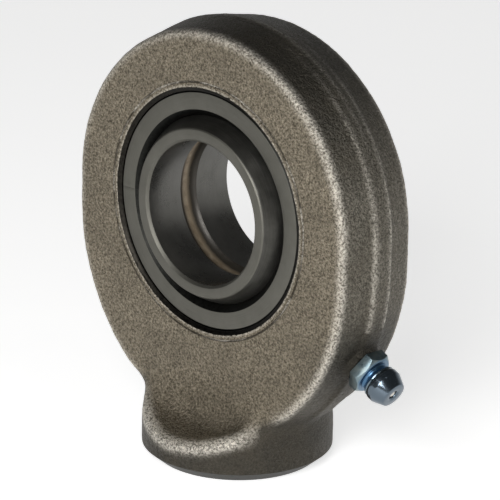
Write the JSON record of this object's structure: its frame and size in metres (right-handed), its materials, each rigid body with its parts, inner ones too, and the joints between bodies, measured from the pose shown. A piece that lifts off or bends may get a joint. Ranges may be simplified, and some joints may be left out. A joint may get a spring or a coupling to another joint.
{
  "type": "rod end bearing",
  "caption": "Forged eye with a round weld-on shank, holding a greased spherical plain bearing that turns and tilts on a pin, with a grease nipple on its flank.",
  "frame": {"origin": "centre of the pin bore, where the bore's axis meets the middle plane of the eye", "axes": "+Y along the pin bore, +Z from the weld face through the bore to the top of the eye, +X towards the grease nipple"},
  "size_m": [0.0693, 0.0336, 0.0808],
  "materials": {
    "forged_steel": "shot-blasted and oiled drop forging, lightly mottled",
    "bearing_steel": "ground and phosphated, satin",
    "grease": "soft amber grease",
    "zinc_plate": "bright blue-passivated zinc",
    "polished_steel": "polished ball",
    "spring_steel": "ground steel"
  },
  "bodies": {
    "eye": {"housing": "forged_steel", "outer_ring": "bearing_steel", "nipple_body": "zinc_plate", "nipple_spring": "spring_steel", "centring_pin": "spring_steel"},
    "grease": {"race_grease": "grease"},
    "ball_ring": {"inner_ring": "bearing_steel"},
    "valve": {"nipple_check_ball": "polished_steel"}
  },
  "joints": [
    {"name": "ring_turn", "type": "hinge", "parent": "eye", "child": "grease", "pos_m": [0, 0, 0], "axis": [0, 1, 0], "continuous": true},
    {"name": "ring_tilt", "type": "hinge", "parent": "grease", "child": "ball_ring", "pos_m": [0, 0, 0], "axis": [1, 0, 0], "range_deg": [-7, 7]},
    {"name": "valve_slide", "type": "slide", "parent": "eye", "child": "valve", "axis": [-0.891, 0, 0.454], "range_m": [0, 0.0008], "stiffness_N_per_m": 500, "springref_m": -0.002, "deforming": ["nipple_spring"]}
  ]
}
